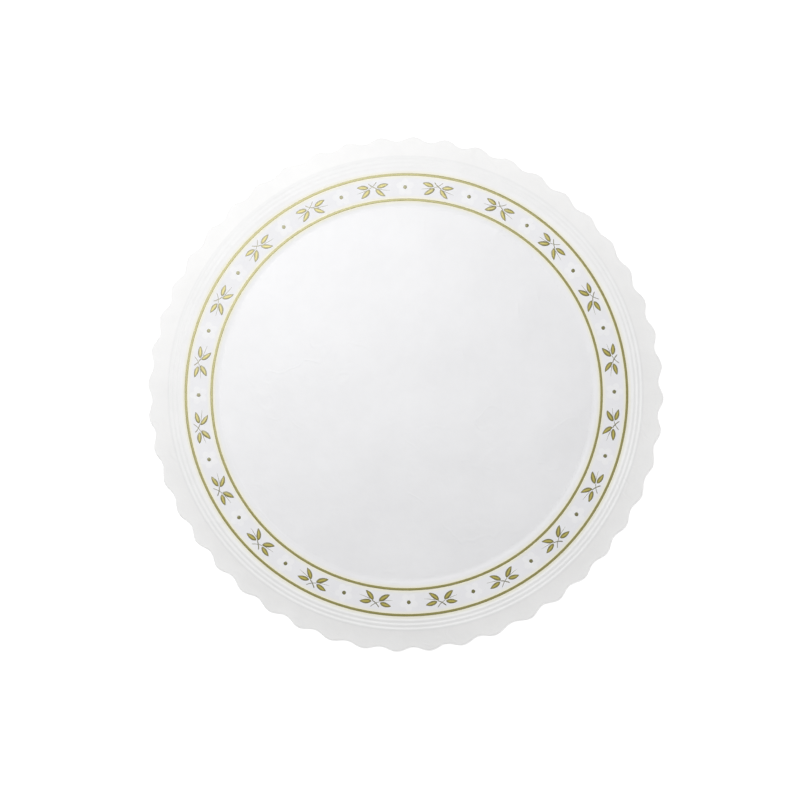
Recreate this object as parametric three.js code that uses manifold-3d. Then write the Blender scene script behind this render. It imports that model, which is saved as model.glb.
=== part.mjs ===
// A round cake board, 300 mm across, lying with its printed face up. It is one piece of white laminated
// paperboard: pressed to a shallow dish with three fine ribs, die-cut to a scalloped edge, and hot-stamped
// with a gold border of two lines, leaf sprigs and dots. Millimetres, +Z up. The origin is the centre of the
// face that the board rests on.
import * as THREE from "three";
import { mergeVertices, toCreasedNormals } from "three/addons/utils/BufferGeometryUtils.js";
import Module from "manifold-3d";

// The board and its die-cut edge.
const BOARD_DIAMETER = 300; // over the crests of the scallops
const BOARD_THICKNESS = 1.2;
const SCALLOP_COUNT = 48;
const SCALLOP_DEPTH = 2.7; // from crest to valley

// The pressing, from the edge inwards. Each width is set by itself, and the dish takes what is left.
const RIM_WIDTH = 11.2; // crest of a scallop to the foot of the outermost rib
const RIB_COUNT = 3;
const RIB_PITCH = 2.5; // also the width of a rib: they stand side by side
const RIB_HEIGHT = 0.3;
const RIB_HOLLOW = 0.15; // how deep each rib shows as a groove in the underside
const RIB_TO_LINE = 2.8; // foot of the innermost rib to the middle of the outer gold line
const LINE_TO_DISH = 2.1; // middle of the inner gold line to the top of the dish's slope
const DISH_SLOPE = 2.2; // width of the slope, measured flat
const DISH_DEPTH = 0.5;

// The stamped gold border.
const FOIL_DEPTH = 0.08; // how far the hot stamp presses the foil into the board
const BORDER_WIDTH = 14.9; // between the middles of the two gold lines
const LINE_WIDTH = 1.5;
const SPRIG_COUNT = 20; // with a dot between each sprig and the next
const DOT_DIAMETER = 2;
const PRINT_TURN = 2.2; // degrees from the crest of a scallop round to the nearest dot

// One sprig, drawn with the rim of the board towards +Y and the place where its stems cross at 0, 0.
const SPRIG_RISE = 1.6; // how far the crossing lies outside the middle of the border
const LEAF_LENGTH = 6.9;
const LEAF_WIDTH = 2.4;
const LEAF_BELLY = 0.42; // how far along its length a leaf is widest
const STEM_WIDTH = 0.5;
const STEMS = [
  { from: [-2.3, 2.4], to: [2.3, -1.5] },
  { from: [2.7, 2.5], to: [-2.3, -1.2] },
];
const LEAVES = [
  { base: [-2.3, -0.5], turn: 168 },
  { base: [-1.8, -1.5], turn: 218 },
  { base: [2.5, -0.9], turn: 12 },
  { base: [1.8, -1.7], turn: -43 },
];

// Fineness of the facets.
const TURN_FACETS = 84; // round the pressing and the gold lines
const SCALLOP_FACETS = 8;
const SLOPE_FACETS = 3;
const RIB_FACETS = 4;
const HOLLOW_FACETS = 2; // each rib's groove in the underside
const LEAF_FACETS = 4; // along each side of a leaf
const DOT_FACETS = 8;
const TOOL_OVERRUN = 3; // how far the die and the stamp reach past the board
const CREASE_ANGLE = THREE.MathUtils.degToRad(25);

// Radii and heights that follow from the sizes above.
const crestRadius = BOARD_DIAMETER / 2;
const ribsOuterRadius = crestRadius - RIM_WIDTH;
const ribsInnerRadius = ribsOuterRadius - RIB_COUNT * RIB_PITCH;
const outerLineRadius = ribsInnerRadius - RIB_TO_LINE;
const innerLineRadius = outerLineRadius - BORDER_WIDTH;
const borderRadius = (outerLineRadius + innerLineRadius) / 2;
const slopeTopRadius = innerLineRadius - LINE_TO_DISH;
const dishRadius = slopeTopRadius - DISH_SLOPE;
const rimTop = DISH_DEPTH + BOARD_THICKNESS;

const wasm = await Module();
wasm.setup();

// A closed geometry as a solid that can be joined and cut. Triangles that closed up at an axis are dropped.
function solidFrom(geometry) {
  const bare = new THREE.BufferGeometry().setIndex(geometry.index);
  bare.setAttribute("position", geometry.getAttribute("position"));
  const merged = mergeVertices(bare);
  const corners = [];
  for (let i = 0; i < merged.index.count; i += 3) {
    const [a, b, c] = merged.index.array.subarray(i, i + 3);
    if (a !== b && b !== c && c !== a) corners.push(a, b, c);
  }
  const vertProperties = merged.getAttribute("position").array;
  const triVerts = new Uint32Array(corners);
  return new wasm.Manifold(new wasm.Mesh({ numProp: 3, vertProperties, triVerts }));
}

function geometryFrom(solid) {
  const mesh = solid.getMesh();
  const geometry = new THREE.BufferGeometry();
  geometry.setAttribute("position", new THREE.BufferAttribute(mesh.vertProperties, 3));
  return geometry.setIndex(new THREE.BufferAttribute(mesh.triVerts, 1));
}

function join(solids) {
  return solids.reduce((whole, piece) => whole.add(piece));
}

// The height of the pressing over a stretch of the section, as [radius, rise] from t = 0 to t = 1.
function wave(fromRadius, toRadius, height, turns, facets) {
  return Array.from({ length: facets + 1 }, (_, i) => {
    const t = i / facets;
    const rise = (height * (1 - Math.cos(2 * Math.PI * turns * t))) / 2;
    return new THREE.Vector2(THREE.MathUtils.lerp(fromRadius, toRadius, t), rise);
  });
}

// One face of the sheet from the axis outwards, lifted to its level. The two faces differ only in the ribs.
function pressedFace(level, ribHeight, ribFacets) {
  const slope = wave(dishRadius, slopeTopRadius, DISH_DEPTH, 0.5, SLOPE_FACETS);
  const ribs = wave(ribsInnerRadius, ribsOuterRadius, ribHeight, RIB_COUNT, RIB_COUNT * ribFacets);
  ribs.forEach((point) => (point.y += DISH_DEPTH));
  const edge = new THREE.Vector2(crestRadius + TOOL_OVERRUN, DISH_DEPTH);
  const face = [new THREE.Vector2(0, 0), ...slope, ...ribs, edge];
  face.forEach((point) => (point.y += level));
  return face;
}

// The sheet as it leaves the press, before its edge is cut.
function pressedSheet() {
  const underside = pressedFace(0, RIB_HOLLOW, HOLLOW_FACETS);
  const topside = pressedFace(BOARD_THICKNESS, RIB_HEIGHT, RIB_FACETS);
  const sheet = new THREE.LatheGeometry([...underside, ...topside.reverse()], TURN_FACETS);
  return solidFrom(sheet.rotateX(Math.PI / 2));
}

// The cutting die: the scalloped outline, taller than the sheet.
function edgeDie() {
  const corners = Array.from({ length: SCALLOP_COUNT * SCALLOP_FACETS }, (_, i) => {
    const crest = Math.cos((2 * Math.PI * i) / SCALLOP_FACETS);
    const radius = crestRadius - (SCALLOP_DEPTH * (1 - crest)) / 2;
    const angle = (2 * Math.PI * i) / (SCALLOP_COUNT * SCALLOP_FACETS);
    return new THREE.Vector2(radius * Math.cos(angle), radius * Math.sin(angle));
  });
  const depth = rimTop + 2 * TOOL_OVERRUN;
  const die = new THREE.ExtrudeGeometry(new THREE.Shape(corners), { depth, bevelEnabled: false });
  return solidFrom(die.translate(0, 0, -TOOL_OVERRUN));
}

// A raised part of the stamp, which sinks FOIL_DEPTH into the border.
function stampFace(shape, curveSegments) {
  const depth = FOIL_DEPTH + TOOL_OVERRUN;
  const face = new THREE.ExtrudeGeometry(shape, { depth, curveSegments, bevelEnabled: false });
  return face.translate(0, 0, rimTop - FOIL_DEPTH);
}

function lineStamp(radius) {
  const ring = new THREE.Shape().absarc(0, 0, radius + LINE_WIDTH / 2, 0, 2 * Math.PI);
  ring.holes.push(new THREE.Path().absarc(0, 0, radius - LINE_WIDTH / 2, 0, 2 * Math.PI));
  return solidFrom(stampFace(ring, TURN_FACETS / 2));
}

function dotStamp() {
  const dot = new THREE.Shape().absarc(0, borderRadius, DOT_DIAMETER / 2, 0, 2 * Math.PI);
  return stampFace(dot, DOT_FACETS / 2);
}

// A pointed leaf along +X from 0, 0.
function leafShape() {
  const leaf = new THREE.Shape();
  const belly = LEAF_BELLY * LEAF_LENGTH;
  const bulge = LEAF_WIDTH * 0.66; // a cubic with its handles here is LEAF_WIDTH across
  leaf.bezierCurveTo(belly * 0.4, -bulge, belly * 1.7, -bulge, LEAF_LENGTH, 0);
  leaf.bezierCurveTo(belly * 1.7, bulge, belly * 0.4, bulge, 0, 0);
  return leaf;
}

function stemShape({ from, to }) {
  const start = new THREE.Vector2(...from);
  const end = new THREE.Vector2(...to);
  const along = end.clone().sub(start).normalize();
  const side = new THREE.Vector2(-along.y, along.x).multiplyScalar(STEM_WIDTH / 2);
  return new THREE.Shape([
    start.clone().sub(side),
    end.clone().sub(side),
    end.clone().add(side),
    start.clone().add(side),
  ]);
}

// One sprig at the top of the border: two crossed stems, each with a pair of leaves.
function sprigStamp() {
  const stems = STEMS.map((stem) => stampFace(stemShape(stem), 1));
  const leaves = LEAVES.map(({ base, turn }) =>
    stampFace(leafShape(), LEAF_FACETS)
      .rotateZ(THREE.MathUtils.degToRad(turn))
      .translate(...base, 0),
  );
  const sprig = join([...stems, ...leaves].map(solidFrom));
  return geometryFrom(sprig).translate(0, borderRadius + SPRIG_RISE, 0);
}

// The whole stamp: two lines, and a sprig and a dot in turn all the way round between them.
function borderStamp() {
  const pieces = [lineStamp(innerLineRadius), lineStamp(outerLineRadius)];
  const sprig = sprigStamp();
  const dot = dotStamp();
  const turn = THREE.MathUtils.degToRad(PRINT_TURN) - Math.PI / 2;
  const step = (2 * Math.PI) / SPRIG_COUNT;
  for (let i = 0; i < SPRIG_COUNT; i += 1) {
    pieces.push(solidFrom(dot.clone().rotateZ(turn + i * step)));
    pieces.push(solidFrom(sprig.clone().rotateZ(turn + (i + 0.5) * step)));
  }
  return join(pieces).asOriginal();
}

const paper = new THREE.MeshStandardMaterial({ name: "white_laminate", color: 0xf1f1f3, roughness: 0.35 });
const foil = new THREE.MeshStandardMaterial({
  name: "gold_foil",
  color: 0xb5a045,
  roughness: 0.3,
  metalness: 1,
});

// The finished board. The faces that the stamp made carry the foil, and all the others are paper.
function cakeBoard() {
  const stamp = borderStamp();
  const blank = pressedSheet().intersect(edgeDie()).asOriginal();
  const stamped = blank.subtract(stamp);
  const { runIndex, runOriginalID } = stamped.getMesh();
  const geometry = geometryFrom(stamped);
  runOriginalID.forEach((maker, run) => {
    const material = maker === stamp.originalID() ? 1 : 0;
    geometry.addGroup(runIndex[run], runIndex[run + 1] - runIndex[run], material);
  });
  const board = new THREE.Mesh(toCreasedNormals(geometry, CREASE_ANGLE), [paper, foil]);
  board.name = "board";
  return board;
}

const part = new THREE.Group();
part.add(cakeBoard());

export default part;
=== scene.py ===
# A round white cake board with a scalloped edge and a gold sprig border, lying on a white table.
import math

import bpy
from mathutils import Matrix, Vector


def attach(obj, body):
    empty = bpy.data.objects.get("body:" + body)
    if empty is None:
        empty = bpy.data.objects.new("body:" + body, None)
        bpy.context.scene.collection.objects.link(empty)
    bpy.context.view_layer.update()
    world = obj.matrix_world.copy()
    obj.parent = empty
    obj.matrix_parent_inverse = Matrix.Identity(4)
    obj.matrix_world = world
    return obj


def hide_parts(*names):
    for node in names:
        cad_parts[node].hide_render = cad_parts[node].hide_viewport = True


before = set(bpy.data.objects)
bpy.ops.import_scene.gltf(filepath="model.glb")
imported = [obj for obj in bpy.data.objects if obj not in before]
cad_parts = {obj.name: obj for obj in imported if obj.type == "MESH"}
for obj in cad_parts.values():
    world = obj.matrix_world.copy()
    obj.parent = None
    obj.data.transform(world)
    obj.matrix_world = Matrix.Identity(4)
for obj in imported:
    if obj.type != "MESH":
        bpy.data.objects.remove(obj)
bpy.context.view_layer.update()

# The pressed sheet
#
# One round of white laminated paperboard. A heated press gives it the shallow dish for the cake and three
# fine ribs that stiffen the rim, and a die then cuts the edge to 48 scallops.

MM = 0.001
NEAR = 0.001 * MM  # closer than this is the same place

SHEET_THICKNESS = 1.2 * MM
DISH_DEPTH = 0.5 * MM
DISH_RADIUS = 109.25 * MM
SLOPE_WIDTH = 2.2 * MM
SLOPE_RINGS = 8
RIB_COUNT = 3
RIB_PITCH = 2.5 * MM
RIB_HEIGHT = 0.3 * MM
RIB_RINGS = 8
RIBS_INNER_RADIUS = 131.3 * MM
RIBS_OUTER_RADIUS = RIBS_INNER_RADIUS + RIB_COUNT * RIB_PITCH
RIM_TOP = DISH_DEPTH + SHEET_THICKNESS
FLANK_SHARE = 0.85  # how much of a slope or a rib is straight flank, the rest being rounded
CREST_RADIUS = 150 * MM
SCALLOP_COUNT = 48
SCALLOP_DEPTH = 2.7 * MM
SCALLOP_POINTS = 16
CUT_SHARE = 0.97  # how much of the full depth the scallops have on average
DEPTH_WAVES = ((0.10, 5, 0.6), (0.07, 13, 2.1))  # uneven depth: share of it, waves round the edge, phase
DIE_JOIN = math.radians(296.3)
DIE_GAP = math.radians(1.25)
OUT_OF_ROUND = 0.38 * MM
OUT_OF_ROUND_LOBES = 4
ROLLED_WIDTH = 0.25 * MM
ROLLED_DROP = 0.08 * MM
SHEET_CREASE = math.radians(35)


def start_ring(name, points, radius, height):
    """Adds a bare circle and leaves it in edit mode, all selected, ready to be drawn outwards."""
    bpy.ops.object.select_all(action="DESELECT")
    bpy.ops.mesh.primitive_circle_add(vertices=points, radius=radius, location=(0, 0, height))
    ring = bpy.context.object
    ring.name = name
    bpy.ops.object.transform_apply(location=True, rotation=True, scale=True)
    bpy.ops.object.mode_set(mode="EDIT")
    bpy.ops.mesh.select_mode(type="VERT")
    bpy.ops.mesh.select_all(action="SELECT")
    return ring


def widen(rings):
    """Draws the selected edge outwards in steps, each from one (radius, height) to the next."""
    for (radius, height), (next_radius, next_height) in zip(rings, rings[1:]):
        bpy.ops.mesh.extrude_region_move()
        growth = next_radius / radius
        bpy.ops.transform.resize(value=(growth, growth, 1), center_override=(0, 0, height))
        bpy.ops.transform.translate(value=(0, 0, next_height - height))


def close_middle(piece, radius):
    """Fills the circle that a sheet was drawn outwards from."""
    bpy.ops.mesh.select_all(action="DESELECT")
    bpy.ops.object.mode_set(mode="OBJECT")
    for vertex in piece.data.vertices:
        vertex.select = vertex.co.xy.length < radius + NEAR
    bpy.ops.object.mode_set(mode="EDIT")
    bpy.ops.mesh.edge_face_add()


def face_up(piece):
    """Leaves edit mode with all the faces of an open sheet turned to the same side, upwards."""
    bpy.ops.mesh.select_all(action="SELECT")
    bpy.ops.mesh.normals_make_consistent(inside=False)
    bpy.ops.object.mode_set(mode="OBJECT")
    if sum(polygon.normal.z * polygon.area for polygon in piece.data.polygons) < 0:
        piece.data.flip_normals()


def pressed(start, width, height, turns, rings):
    """The (radius, rise) steps over a pressed form: half a turn is a slope up, a whole turn is a rib."""
    steps = []
    for i in range(rings + 1):
        turn = turns * i / rings
        straight = 1 - abs(1 - 2 * (turn % 1))
        rounded = (1 - math.cos(2 * math.pi * turn)) / 2
        rise = height * (FLANK_SHARE * straight + (1 - FLANK_SHARE) * rounded)
        steps.append((start + width * i / rings, rise))
    return steps


def apply_modifiers(piece):
    """Applies what is left live on a piece, so that its mesh is as it looks."""
    bpy.ops.object.select_all(action="DESELECT")
    bpy.context.view_layer.objects.active = piece
    piece.select_set(True)
    for modifier in list(piece.modifiers):
        bpy.ops.object.modifier_apply(modifier=modifier.name)


def scalloped(angle):
    """How far the cut edge lies inside a true circle at this angle. The die is a bent steel strip: it is a
    little out of round, cuts some valleys deeper, and makes one wide scallop where its two ends meet."""
    unevenness = 1 + sum(share * math.sin(waves * angle + phase) for share, waves, phase in DEPTH_WAVES)
    turns = (angle - DIE_JOIN) / (2 * math.pi) % 1
    from_join = min(1, 2 * SCALLOP_COUNT * min(turns, 1 - turns))
    crept = DIE_GAP * (0.5 - turns) * from_join
    scallop = SCALLOP_DEPTH * (1 - math.cos(SCALLOP_COUNT * (angle - crept))) / 2
    return scallop * CUT_SHARE * unevenness + OUT_OF_ROUND * (1 - math.cos(OUT_OF_ROUND_LOBES * angle))


flat_radius = DISH_RADIUS - SLOPE_WIDTH / 2
slope = [
    (radius, SHEET_THICKNESS + rise)
    for radius, rise in pressed(DISH_RADIUS, SLOPE_WIDTH, DISH_DEPTH, 0.5, SLOPE_RINGS)
]
ribs = [
    (radius, RIM_TOP + rise)
    for radius, rise in pressed(
        RIBS_INNER_RADIUS, RIB_COUNT * RIB_PITCH, RIB_HEIGHT, RIB_COUNT, RIB_COUNT * RIB_RINGS
    )
]
edge = [
    (CREST_RADIUS - 2 * ROLLED_WIDTH, RIM_TOP),
    (CREST_RADIUS - ROLLED_WIDTH, RIM_TOP),
    (CREST_RADIUS - ROLLED_WIDTH / 3, RIM_TOP - ROLLED_DROP / 3),
    (CREST_RADIUS, RIM_TOP - ROLLED_DROP),
]
sheet = start_ring("pressed_sheet", SCALLOP_COUNT * SCALLOP_POINTS, flat_radius, SHEET_THICKNESS)
widen([(flat_radius, SHEET_THICKNESS)] + slope + ribs + edge)
close_middle(sheet, flat_radius)
face_up(sheet)
inside_the_cut = (RIBS_OUTER_RADIUS + CREST_RADIUS) / 2
for vertex in sheet.data.vertices:
    flat = vertex.co.xy
    if flat.length > inside_the_cut:
        inset = scalloped(math.atan2(flat.y, flat.x))
        vertex.co.xy = flat.normalized() * (flat.length - inset)
thickness = sheet.modifiers.new("thickness", "SOLIDIFY")
thickness.thickness = SHEET_THICKNESS
thickness.offset = -1
thickness.material_offset = 1
thickness.material_offset_rim = 2


class Value:
    """A number, colour or vector on its way through a material, so that maths reads as an expression."""

    def __init__(self, socket):
        self.socket = socket

    def node(self, kind, settings, inputs, output=0):
        """Adds a node of any kind. Its settings are set first, then its sockets by name or number."""
        tree = self.socket.id_data
        made = tree.nodes.new(kind)
        for name, value in settings.items():
            setattr(made, name, value)
        for name, value in inputs.items():
            if isinstance(value, Value):
                tree.links.new(value.socket, made.inputs[name])
            else:
                made.inputs[name].default_value = value
        return Value(made.outputs[output])

    def math(self, operation, *others):
        """Adds a Math node with this value as its first number."""
        numbers = dict(enumerate((self, *others)))
        return self.node("ShaderNodeMath", {"operation": operation}, numbers)

    def __add__(self, other):
        return self.math("ADD", other)

    def __radd__(self, other):
        return self.math("ADD", other)

    def __sub__(self, other):
        return self.math("SUBTRACT", other)

    def __rsub__(self, other):
        return self.math("MULTIPLY_ADD", -1, other)

    def __mul__(self, other):
        return self.math("MULTIPLY", other)

    def __rmul__(self, other):
        return self.math("MULTIPLY", other)

    def __truediv__(self, other):
        return self.math("DIVIDE", other)

    def between(self, low, high):
        """0 at low, 1 at high and a smooth step between the two."""
        settings = {"interpolation_type": "SMOOTHSTEP"}
        return self.node("ShaderNodeMapRange", settings, {"Value": self, "From Min": low, "From Max": high})

    def kept_within(self, low, high):
        """The value itself, but never below low or above high."""
        return self.math("MAXIMUM", low).math("MINIMUM", high)

    def length(self):
        """How long a vector is."""
        return self.node("ShaderNodeVectorMath", {"operation": "LENGTH"}, {0: self}, "Value")

    def parts(self):
        """The three numbers that a vector is made of."""
        split = self.node("ShaderNodeSeparateXYZ", {}, {0: self}).socket.node
        return [Value(output) for output in split.outputs]


def new_material(name, settings):
    """A plain surface with its constants set on the shader. Returns it, its shader and the place on it."""
    material = bpy.data.materials.new(name)
    material.use_nodes = True
    shader = material.node_tree.nodes["Principled BSDF"]
    for socket, value in settings.items():
        shader.inputs[socket].default_value = value
    coordinates = material.node_tree.nodes.new("ShaderNodeTexCoord")
    return material, shader, Value(coordinates.outputs["Object"])


def feed(shader, socket, value):
    """Links a worked-out value to one of the shader's sockets."""
    shader.id_data.links.new(value.socket, shader.inputs[socket])


def mix(share, first, second):
    """Two colours mixed by a share that varies over the surface."""
    return share.node("ShaderNodeMix", {"data_type": "RGBA"}, {0: share, 6: first, 7: second}, 2)


def noise(place, size, detail=2.0, rough=0.5):
    """Cloudy noise with spots of about this size."""
    inputs = {"Vector": place, "Scale": 1 / size, "Detail": detail, "Roughness": rough}
    return place.node("ShaderNodeTexNoise", {}, inputs)


def bump(height, depth, below=None):
    """Turns a height from 0 to 1 into dents this deep, on top of an earlier bump if there is one."""
    inputs = {"Height": height, "Distance": depth}
    if below is not None:
        inputs["Normal"] = below
    return height.node("ShaderNodeBump", {}, inputs)


# Laminated face: white board under a clear film. The border's ground is printed a very pale lilac grey, and
# a five-petalled flower is left white round each gold dot. A warm fringe shows beside the gold lines. The
# film is glossiest over the print and nearly matt on the rim.
LAMINATE_WHITE = (0.862, 0.862, 0.876, 1)
# The band over the ribs is painted a lighter white, painted light that offsets the shade of its slopes
# where they tilt away from the soft box.
RIB_LIGHTENED_WHITE = (0.893, 0.893, 0.892, 1)
RIM_WHITE = (0.946, 0.944, 0.940, 1)
RIM_BLEND = 0.5 * MM
GROUND_GREY = (0.785, 0.785, 0.808, 1)
PETAL_WHITE = (0.828, 0.828, 0.842, 1)
FRINGE_CREAM = (0.845, 0.81, 0.60, 1)
FRINGE_WIDTH = 3.0 * MM
PULP_SHADE = (0.965, 0.965, 0.965, 1)
PULP_LIGHT = (1, 1, 1, 1)
PULP_FLECK = 9 * MM
PULP_CLOUD = 48 * MM
DISH_GLOSS = 0.45
BORDER_GLOSS = 0.95
RIM_GLOSS = 0.08

PRINT_SHIFT = Vector((0.4, -0.85, 0)) * MM  # the print lies a little off the middle of the die-cut
BORDER_RADIUS = 121 * MM
LINE_OFF_MIDDLE = 7.45 * MM
GROUND_HALF_WIDTH = 6.9 * MM
GROUND_BLEND = 0.15 * MM
FLOWER_COUNT = 20
FLOWER_TURN = math.radians(2.2)
PETAL_COUNT = 5
PETAL_CENTRE = 3.0 * MM
PETAL_HALF_LENGTH = 2.35 * MM
PETAL_HALF_WIDTH = 2.0 * MM
PETAL_EDGE = (0.7, 1.15)  # over which a petal fades out, 1 being the square of its half size

laminate, face, on_face = new_material(
    "white_laminate", {"Roughness": 0.5, "Coat Roughness": 0.31, "IOR": 1.5}
)
face_x, face_y, _ = on_face.parts()
across = face_x - PRINT_SHIFT.x
upward = face_y - PRINT_SHIFT.y
radius = (across * across + upward * upward).math("SQRT")
around = upward.math("ARCTAN2", across)


def folded(angle, count, turn):
    """The angle from the nearest of so many places round a circle, the first of which lies at turn."""
    step = 2 * math.pi / count
    position = (angle - turn) / step + 0.5
    return (position.math("FRACT") - 0.5) * step


from_dot = folded(around, FLOWER_COUNT, FLOWER_TURN)
flower_x = radius * from_dot.math("SINE")
flower_y = radius * from_dot.math("COSINE") - BORDER_RADIUS
reach = (flower_x * flower_x + flower_y * flower_y).math("SQRT")
from_petal = folded(flower_x.math("ARCTAN2", flower_y), PETAL_COUNT, 0)
petal_x = reach * from_petal.math("SINE") / PETAL_HALF_WIDTH
petal_y = (reach * from_petal.math("COSINE") - PETAL_CENTRE) / PETAL_HALF_LENGTH
petals = 1 - (petal_x * petal_x + petal_y * petal_y).between(*PETAL_EDGE)
off_middle = (radius - BORDER_RADIUS).math("ABSOLUTE")
ground = 1 - off_middle.between(GROUND_HALF_WIDTH - GROUND_BLEND, GROUND_HALF_WIDTH + GROUND_BLEND)
# Painted lightening over the ribs, offsetting the shade of their slopes.
rib_lightening = radius.between(BORDER_RADIUS + GROUND_HALF_WIDTH, RIBS_INNER_RADIUS)
from_centre = on_face.length()
rim = from_centre.between(RIBS_OUTER_RADIUS - RIM_BLEND, RIBS_OUTER_RADIUS + RIM_BLEND)
film_colour = mix(rim, mix(rib_lightening, LAMINATE_WHITE, RIB_LIGHTENED_WHITE), RIM_WHITE)
printed = mix(ground, film_colour, mix(petals, GROUND_GREY, PETAL_WHITE))
off_line = (off_middle - LINE_OFF_MIDDLE).math("ABSOLUTE")
fringed = mix(1 - off_line.between(0, FRINGE_WIDTH), printed, FRINGE_CREAM)
flecks = noise(on_face, PULP_FLECK, detail=4.0, rough=0.6).between(0.3, 0.7)
clouds = noise(on_face, PULP_CLOUD, detail=1.0).between(0.3, 0.7)
pulp = mix((flecks + clouds) / 2, PULP_SHADE, PULP_LIGHT)
shaded = {"data_type": "RGBA", "blend_type": "MULTIPLY"}
feed(face, "Base Color", pulp.node("ShaderNodeMix", shaded, {0: 1.0, 6: fringed, 7: pulp}, 2))
gloss = DISH_GLOSS + ground * (BORDER_GLOSS - DISH_GLOSS) - rim * (DISH_GLOSS - RIM_GLOSS)
feed(face, "Coat Weight", gloss)

# The film bridges the bends of the pressing, so that they shade as shallower ones. It lies on the board in
# broad waves and small ripples, with a few hair-fine creases and a fine orange peel all over.
SLOPE_BRIDGED = 0.95
RIBS_BRIDGED = 0.5
SAG_SIZE = 60 * MM
SAG_DEPTH = 2.4 * MM
RIPPLE_SIZE = 14 * MM
RIPPLE_DEPTH = 0.3 * MM
FOLD_SIZE = 26 * MM
FOLD_EDGE = 0.03
CREASED_SIZE = 33 * MM
CREASED_EDGE = (0.52, 0.62)
CREASE_DEPTH = 0.06 * MM
PEEL_SIZE = 1.1 * MM
PEEL_DEPTH = 0.012 * MM

up_slope = ((from_centre - DISH_RADIUS) / SLOPE_WIDTH).kept_within(0, 1)
slope_bridge = bump(1 - up_slope, SLOPE_BRIDGED * DISH_DEPTH)
past_ribs = from_centre.kept_within(RIBS_INNER_RADIUS, RIBS_OUTER_RADIUS) - RIBS_INNER_RADIUS
up_rib = past_ribs.math("PINGPONG", RIB_PITCH / 2) / (RIB_PITCH / 2)
rib_bridge = bump(1 - up_rib, RIBS_BRIDGED * RIB_HEIGHT, slope_bridge)
sag = bump(noise(on_face, SAG_SIZE, detail=1.0), SAG_DEPTH, rib_bridge)
ripple = bump(noise(on_face, RIPPLE_SIZE, detail=3.0), RIPPLE_DEPTH, sag)
from_fold = (noise(on_face, FOLD_SIZE) - 0.5).math("ABSOLUTE")
creased_here = noise(on_face, CREASED_SIZE, detail=1.0).between(*CREASED_EDGE)
crease = bump((1 - from_fold.between(0, FOLD_EDGE)) * creased_here, CREASE_DEPTH, ripple)
feed(face, "Normal", bump(noise(on_face, PEEL_SIZE, detail=1.0), PEEL_DEPTH, crease))
sheet.data.materials.append(laminate)

# Plain back: the underside of the board has no film, so it is flat white with a fine tooth.
BACK_WHITE = (0.80, 0.795, 0.78, 1)
BACK_SHADE = (0.76, 0.755, 0.735, 1)
BACK_FLECK = 3 * MM
BACK_TOOTH_SIZE = 0.5 * MM
BACK_TOOTH_DEPTH = 0.02 * MM

back, back_face, on_back = new_material("plain_back", {"Roughness": 0.85})
back_flecks = noise(on_back, BACK_FLECK, detail=5.0, rough=0.7)
back_tooth = noise(on_back, BACK_TOOTH_SIZE, detail=3.0, rough=0.6)
feed(back_face, "Base Color", mix(back_flecks, BACK_SHADE, BACK_WHITE))
feed(back_face, "Normal", bump(back_tooth, BACK_TOOTH_DEPTH))
sheet.data.materials.append(back)

# Cut edge: the die shows the pressed pulp between the two faces, in thin uneven layers.
EDGE_LIGHT = (0.80, 0.79, 0.77, 1)
EDGE_DARK = (0.66, 0.65, 0.62, 1)
LAYER_SIZE = 1.2 * MM
LAYER_FLATNESS = 8  # how many times thinner than long a layer is
LAYER_DEPTH = 0.05 * MM

cut_edge, cut_face, on_cut = new_material("cut_edge", {"Roughness": 0.9})
stretched = on_cut.node("ShaderNodeMapping", {}, {"Vector": on_cut, "Scale": (1, 1, LAYER_FLATNESS)})
layers = noise(stretched, LAYER_SIZE, detail=4.0, rough=0.65)
feed(cut_face, "Base Color", mix(layers.between(0.35, 0.7), EDGE_LIGHT, EDGE_DARK))
feed(cut_face, "Normal", bump(layers, LAYER_DEPTH))
sheet.data.materials.append(cut_edge)

apply_modifiers(sheet)
bpy.ops.object.shade_smooth_by_angle(angle=SHEET_CREASE)
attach(sheet, "root")
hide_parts("board")

# The gold lines
#
# Two rings of gold foil, hot-stamped into the laminate on either side of the border. The stamp leaves the
# foil a little domed, so that it catches the light along its middle.

LINE_RADII = (BORDER_RADIUS - LINE_OFF_MIDDLE, BORDER_RADIUS + LINE_OFF_MIDDLE)
LINE_HALF_WIDTH = 0.81 * MM
LINE_POINTS = 720
LINE_SHARES = (-1, -0.7, -0.35, 0, 0.35, 0.7, 1)  # where its rings lie, in half widths from its middle
FOIL_RISE = 0.05 * MM
FOIL_SINK = 0.01 * MM
FOIL_THICKNESS = 0.03 * MM
FOIL_CREASE = math.radians(40)

FOIL_FINISH = {"Metallic": 0.65, "Roughness": 0.45, "Coat Weight": 1, "Coat Roughness": 0.23}
FOIL_DARK = (0.131, 0.117, 0.018, 1)
FOIL_LIGHT = (0.181, 0.163, 0.034, 1)
FOIL_GRAIN = 0.8 * MM
FOIL_TOOTH = 0.006 * MM


def plain_foil(name, dark, light):
    """Foil of one colour with a fine grain in it."""
    material, surface, place = new_material(name, FOIL_FINISH)
    grain = noise(place, FOIL_GRAIN, detail=3.0, rough=0.6)
    feed(surface, "Base Color", mix(grain.between(0.3, 0.8), dark, light))
    feed(surface, "Normal", bump(grain, FOIL_TOOTH))
    return material


def dome(width_share):
    """The height of the foil at this share of its half width from the middle line."""
    return RIM_TOP - FOIL_SINK + (FOIL_RISE + FOIL_SINK) * (1 - width_share**2)


def finish_foil(piece):
    """Backs a stamped shape, sets it where the print sits and fixes it to the board."""
    backing = piece.modifiers.new("backing", "SOLIDIFY")
    backing.thickness = FOIL_THICKNESS
    backing.offset = -1
    apply_modifiers(piece)
    piece.data.transform(Matrix.Translation(PRINT_SHIFT))
    bpy.ops.object.shade_smooth_by_angle(angle=FOIL_CREASE)
    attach(piece, "root")


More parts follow.
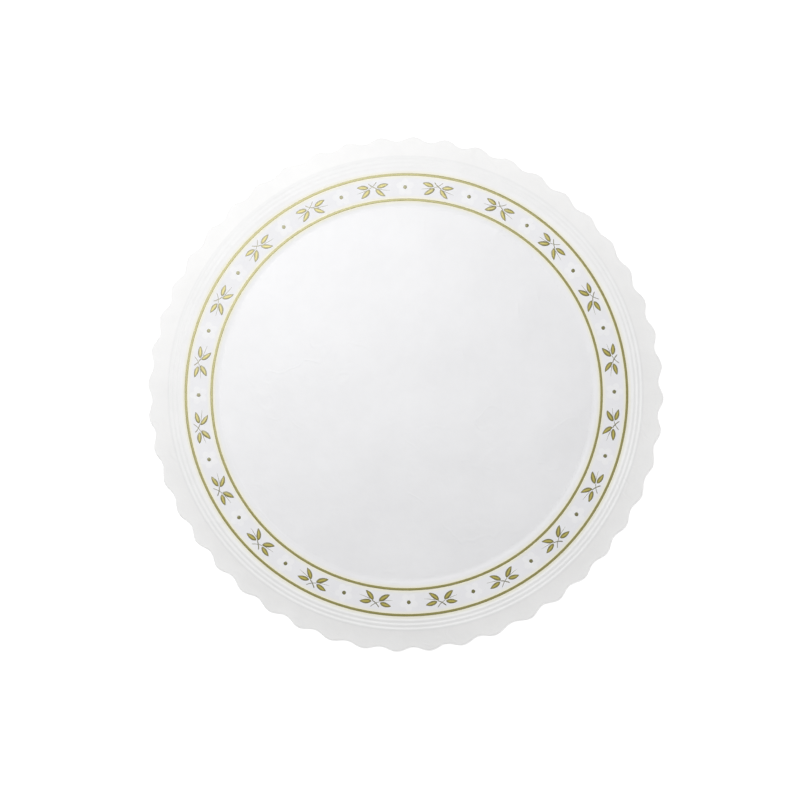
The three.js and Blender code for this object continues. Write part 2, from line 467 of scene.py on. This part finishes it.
line_foil = plain_foil("gold_foil", FOIL_DARK, FOIL_LIGHT)
for name, line_radius in zip(("inner_gold_line", "outer_gold_line"), LINE_RADII):
    rings = [(line_radius + LINE_HALF_WIDTH * share, dome(share)) for share in LINE_SHARES]
    line = start_ring(name, LINE_POINTS, *rings[0])
    widen(rings)
    face_up(line)
    line.data.materials.append(line_foil)
    finish_foil(line)

# The gold dots
#
# Twenty small round spots of foil in the middle of the border, each in the heart of a white flower. They
# are stamped like the lines, but the foil lies darker on so small a spot.

DOT_RADIUS = 1.25 * MM
DOT_POINTS = 24
DOT_SHARES = (0.3, 0.6, 0.85, 1)  # where its rings lie, in radii from its middle
DOT_DARK = (0.075, 0.069, 0.012, 1)
DOT_LIGHT = (0.105, 0.096, 0.020, 1)


def repeat_round(piece, count):
    """Copies a finished shape to so many places round the middle of the board."""
    bpy.ops.object.mode_set(mode="EDIT")
    bpy.ops.mesh.select_all(action="SELECT")
    angle = 2 * math.pi * (count - 1) / count
    bpy.ops.mesh.spin(steps=count - 1, dupli=True, angle=angle, center=(0, 0, 0), axis=(0, 0, 1))
    bpy.ops.object.mode_set(mode="OBJECT")


rings = [(DOT_RADIUS * share, dome(share)) for share in DOT_SHARES]
dots = start_ring("gold_dots", DOT_POINTS, *rings[0])
widen(rings)
close_middle(dots, rings[0][0])
face_up(dots)
dots.data.transform(Matrix.Rotation(FLOWER_TURN, 4, "Z") @ Matrix.Translation((BORDER_RADIUS, 0, 0)))
repeat_round(dots, FLOWER_COUNT)
dots.data.materials.append(plain_foil("gold_dot_foil", DOT_DARK, DOT_LIGHT))
finish_foil(dots)

# The leaf sprigs
#
# Twenty sprigs of foil, one between each dot and the next. Each is two crossed stems with a pair of leaves
# on either side and a thin tendril between them.

SPRIG_RADIUS = 122.6 * MM
LEAF_WIDTH = 2.9 * MM
LEAF_LEAN = 0.85  # below 1, a leaf is widest nearer its base than its tip
LEAF_FULLNESS = 0.72  # below 1, its sides are fuller than a sine
STEM_WIDTH = 0.55 * MM
STEM_BLUNTNESS = 12
STEM_TAPER = 0.1
TENDRIL_WIDTH = 0.26 * MM
TENDRIL_TAPER = 0.75
STROKE_BODY = 0.4  # the part of the foil's rise that even the thinnest stroke has
# Each stroke runs from its first point past its second to its third, in millimetres, with the rim towards
# +Y and the crossing of the stems near 0, 0.
LEAVES = (
    ((-2.4, -0.4), (-5.6, 0.6), (-9.15, 0.8)),
    ((-1.8, -1.2), (-4.1, -3.9), (-7.5, -5.8)),
    ((2.5, -0.8), (5.9, 0.0), (9.55, 0.2)),
    ((1.7, -1.3), (3.3, -4.2), (6.75, -6.5)),
)
STEMS = (
    ((-2.3, 2.4), (-0.2, -0.3), (2.4, -1.2)),
    ((3.0, 2.8), (0.3, -0.3), (-2.4, -0.9)),
)
TENDRILS = (
    ((-3.4, -1.5), (-6.2, -2.2), (-9.4, -2.8)),
    ((3.8, -2.0), (6.6, -2.9), (9.9, -3.6)),
)
LEAF_FACES = (14, 6)  # along a stroke and across it
STEM_FACES = (10, 2)
TENDRIL_FACES = (8, 2)


def leaf_shape(along):
    """Half of a leaf's width, as a share, from its base at 0 to its tip at 1."""
    return math.sin(math.pi * along**LEAF_LEAN) ** LEAF_FULLNESS


def stem_shape(along):
    """A stem swells a little to its outer end and closes round at both ends."""
    return min(1, math.sqrt(along * (1 - along) * STEM_BLUNTNESS)) * (1 + STEM_TAPER * (1 - 2 * along))


def tendril_shape(along):
    """A tendril gets thinner towards its end."""
    return 1 - TENDRIL_TAPER * along**2


# Inside its rim a leaf is stamped finer and less glossy. Its colour paints the light on the domed foil:
# painted shade darkens the rim, and a painted highlight of lighter yellow runs along the middle. The stems
# and tendrils are too thin to take much colour.
LEAF_FINISH = {**FOIL_FINISH, "Metallic": 0.55, "Roughness": 0.5}
# Painted shade for the leaf's rim, then its plain gold, then a painted highlight for its middle.
LEAF_SHADED_RIM = (0.078, 0.068, 0.005, 1)
LEAF_GOLD = (0.195, 0.166, 0.010, 1)
LEAF_HIGHLIGHT = (0.35, 0.295, 0.035, 1)
LEAF_GRAIN = 0.6 * MM
RIM_SHADE_FADES = ((0.2, 0.75), (0.45, 0.95))  # from the middle to the sides, and to the ends
HIGHLIGHT_FADES = ((0.0, 0.38), (0.3, 0.8))
STEM_DARK = (0.090, 0.084, 0.044, 1)
STEM_LIGHT = (0.130, 0.122, 0.064, 1)

stem_foil = plain_foil("gold_stem_foil", STEM_DARK, STEM_LIGHT)
leaf_foil, leaf_face, on_leaf = new_material("gold_leaf_foil", LEAF_FINISH)
leaf_map = Value(on_leaf.socket.node.outputs["UV"])
along_leaf, across_leaf, _ = leaf_map.parts()
from_leaf_spine = (across_leaf * 2 - 1).math("ABSOLUTE")
from_middle = (along_leaf * 2 - 1).math("ABSOLUTE")


def down_the_leaf(to_sides, to_ends):
    """1 in the middle of a leaf, fading out towards its sides and its ends."""
    return (1 - from_leaf_spine.between(*to_sides)) * (1 - from_middle.between(*to_ends))


# Painted shade: the leaf darkens from its middle towards its rim.
leaf_with_shade = mix(down_the_leaf(*RIM_SHADE_FADES), LEAF_SHADED_RIM, LEAF_GOLD)
# Painted highlight: a lighter yellow streak along the leaf's middle.
feed(leaf_face, "Base Color", mix(down_the_leaf(*HIGHLIGHT_FADES), leaf_with_shade, LEAF_HIGHLIGHT))
feed(leaf_face, "Normal", bump(noise(on_leaf, LEAF_GRAIN, detail=3.0, rough=0.6), FOIL_TOOTH))


def add_stroke(points, width, shape, faces, finish):
    """Adds a domed stroke of foil that bends along three points, with its width given by a shape."""
    columns, rows = faces
    bpy.ops.object.select_all(action="DESELECT")
    bpy.ops.mesh.primitive_grid_add(x_subdivisions=columns, y_subdivisions=rows, size=1)
    stroke = bpy.context.object
    start, bend, end = (Vector(point) * MM for point in points)
    for vertex in stroke.data.vertices:
        along = vertex.co.x + 0.5
        side = vertex.co.y * 2
        spine = start * (1 - along) ** 2 + bend * 2 * along * (1 - along) + end * along**2
        heading = ((bend - start) * (1 - along) + (end - bend) * along).normalized()
        half_width = shape(along) * width / 2
        spot = spine + Vector((-heading.y, heading.x)) * side * half_width
        rise = FOIL_RISE * (STROKE_BODY + half_width / (LEAF_WIDTH / 2))
        vertex.co = (spot.x, spot.y, RIM_TOP - FOIL_SINK + rise * (1 - side**2))
    stroke.data.materials.append(finish)
    return stroke


kinds = (
    (LEAVES, LEAF_WIDTH, leaf_shape, LEAF_FACES, leaf_foil),
    (STEMS, STEM_WIDTH, stem_shape, STEM_FACES, stem_foil),
    (TENDRILS, TENDRIL_WIDTH, tendril_shape, TENDRIL_FACES, stem_foil),
)
strokes = [add_stroke(points, *looks) for drawn, *looks in kinds for points in drawn]
bpy.ops.object.select_all(action="DESELECT")
for stroke in strokes:
    stroke.select_set(True)
sprigs = strokes[0]
bpy.context.view_layer.objects.active = sprigs
bpy.ops.object.join()
sprigs.name = "gold_sprigs"
bpy.ops.object.mode_set(mode="EDIT")
bpy.ops.mesh.select_all(action="SELECT")
bpy.ops.mesh.remove_doubles(threshold=NEAR)
face_up(sprigs)
outward = Matrix.Translation((0, SPRIG_RADIUS, 0))
between_dots = FLOWER_TURN + math.pi / FLOWER_COUNT - math.pi / 2
sprigs.data.transform(Matrix.Rotation(between_dots, 4, "Z") @ outward)
repeat_round(sprigs, FLOWER_COUNT)
finish_foil(sprigs)

# The table
#
# The board lies on a white table that runs out of sight into a white room. Both show as plain white, though
# neither throws much light on the board, and the table keeps the board's shadow.

TABLE_WIDTH = 12
TABLE_GAP = 0.02 * MM
TABLE_WHITE = (0.85, 0.85, 0.85, 1)
TABLE_GLOW = 0.5
FAR_GLOW = 0.35
FAR_FROM_BOARD = (0.15, 0.7)
ROOM_WHITE = (1, 1, 1, 1)
ROOM_LIGHT = 0.18

bpy.ops.object.select_all(action="DESELECT")
bpy.ops.mesh.primitive_plane_add(size=TABLE_WIDTH, location=(0, 0, -TABLE_GAP))
table = bpy.context.object
table.name = "table"
table_finish, table_face, on_table = new_material(
    "white_table", {"Base Color": TABLE_WHITE, "Roughness": 0.9, "Emission Strength": 1}
)


def seen(value):
    """1 for the rays that the eye, a mirror or clear glass would see, and 0 for the light itself."""
    path = value.node("ShaderNodeLightPath", {}, {}).socket.node.outputs
    mirrored = Value(path["Is Glossy Ray"])
    passed = Value(path["Is Transmission Ray"])
    return Value(path["Is Camera Ray"]).math("MAXIMUM", mirrored.math("MAXIMUM", passed))


glow = TABLE_GLOW + FAR_GLOW * on_table.length().between(*FAR_FROM_BOARD)
feed(table_face, "Emission Color", seen(on_table) * glow)
table.data.materials.append(table_finish)

world = bpy.data.worlds.new("white_room")
bpy.context.scene.world = world
world.use_nodes = True
room = world.node_tree.nodes["Background"]
room.inputs["Color"].default_value = ROOM_WHITE
strength = ROOM_LIGHT + seen(Value(room.outputs["Background"])) * (1 - ROOM_LIGHT)
feed(room, "Strength", strength)

# The light and the camera
#
# A soft box hangs beyond the board's upper left edge, so that the film mirrors it there, and a wider,
# weaker one fills in from the lower right. The camera looks almost straight down. Places are in metres.

BOARD_TURN = math.radians(1.7)
CAMERA_PLACE = (-0.0168, -0.0444, 0.871)
CAMERA_TARGET = (-0.00364, -0.00465, 0)
SENSOR_WIDTH = 36  # millimetres, as the lens is
LENS = 67.3

turned = Matrix.Rotation(BOARD_TURN, 4, "Z")


def facing(place, target, up):
    """Where a lamp or a camera stands, with its back axis away from the target."""
    back = (Vector(place) - Vector(target)).normalized()
    side = Vector(up).cross(back).normalized()
    pose = Matrix((side, back.cross(side), back)).transposed().to_4x4()
    pose.translation = place
    return turned @ pose


def add_soft_box(name, place, width, height, power):
    """Adds a rectangular lamp that points at the middle of the board."""
    bpy.ops.object.light_add(type="AREA")
    lamp = bpy.context.object
    lamp.name = name
    lamp.data.shape = "RECTANGLE"
    lamp.data.size = width
    lamp.data.size_y = height
    lamp.data.energy = power
    lamp.visible_camera = False
    lamp.matrix_world = facing(place, target=(0, 0, 0), up=(0, 0, 1))


add_soft_box("soft_box", place=(-0.17, 0.255, 0.78), width=0.55, height=0.45, power=5.05)
add_soft_box("fill_box", place=(0.57, -0.22, 0.7), width=1.0, height=1.0, power=1.45)

bpy.ops.object.camera_add()
camera = bpy.context.object
camera.data.sensor_width = SENSOR_WIDTH
camera.data.lens = LENS
camera.matrix_world = facing(CAMERA_PLACE, CAMERA_TARGET, up=(0, 1, 0))
bpy.context.scene.camera = camera
bpy.context.scene.view_settings.view_transform = "Standard"
